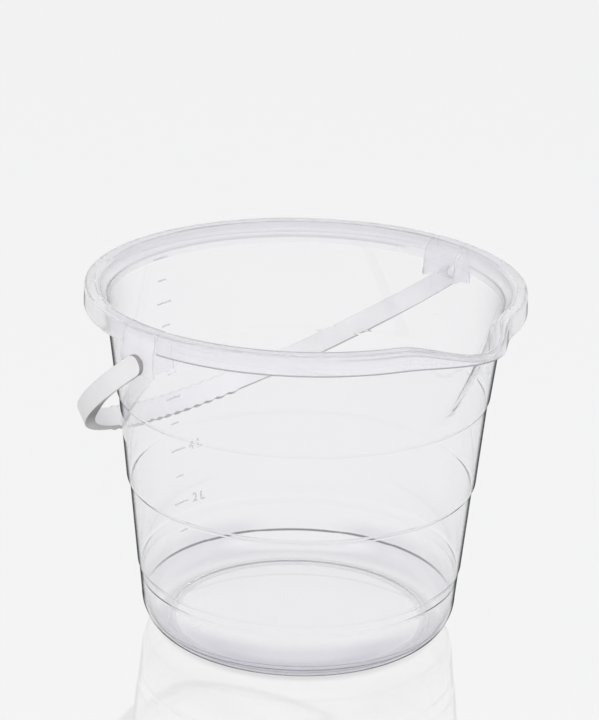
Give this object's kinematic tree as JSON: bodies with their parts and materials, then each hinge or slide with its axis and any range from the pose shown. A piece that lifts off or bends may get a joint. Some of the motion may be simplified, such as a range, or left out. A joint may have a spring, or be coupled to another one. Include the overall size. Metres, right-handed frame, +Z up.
{
  "type": "plastic bucket",
  "caption": "Clear plastic bucket with a stepped, tapered wall, a hollow rim with a pouring spout, open side brackets and a swinging bail handle.",
  "frame": {"origin": "middle of the base, on the surface that the bucket stands on", "axes": "+Z up along the bucket's axis, X along the handle's hinge, -Y towards the pouring spout, +Y towards the side where the handle hangs"},
  "size_m": [0.326, 0.3338, 0.262],
  "materials": {
    "clear_plastic": "polished, clear and colourless",
    "milky_plastic": "satin, milky white and slightly see-through"
  },
  "bodies": {
    "bucket": {"bucket_body": "clear_plastic"},
    "handle": {"carry_handle": "milky_plastic"}
  },
  "joints": [
    {"name": "handle_swing", "type": "hinge", "parent": "bucket", "child": "handle", "pos_m": [0, 0, 0.2367], "axis": [1, 0, 0], "range_deg": [-8.5, 262]}
  ]
}
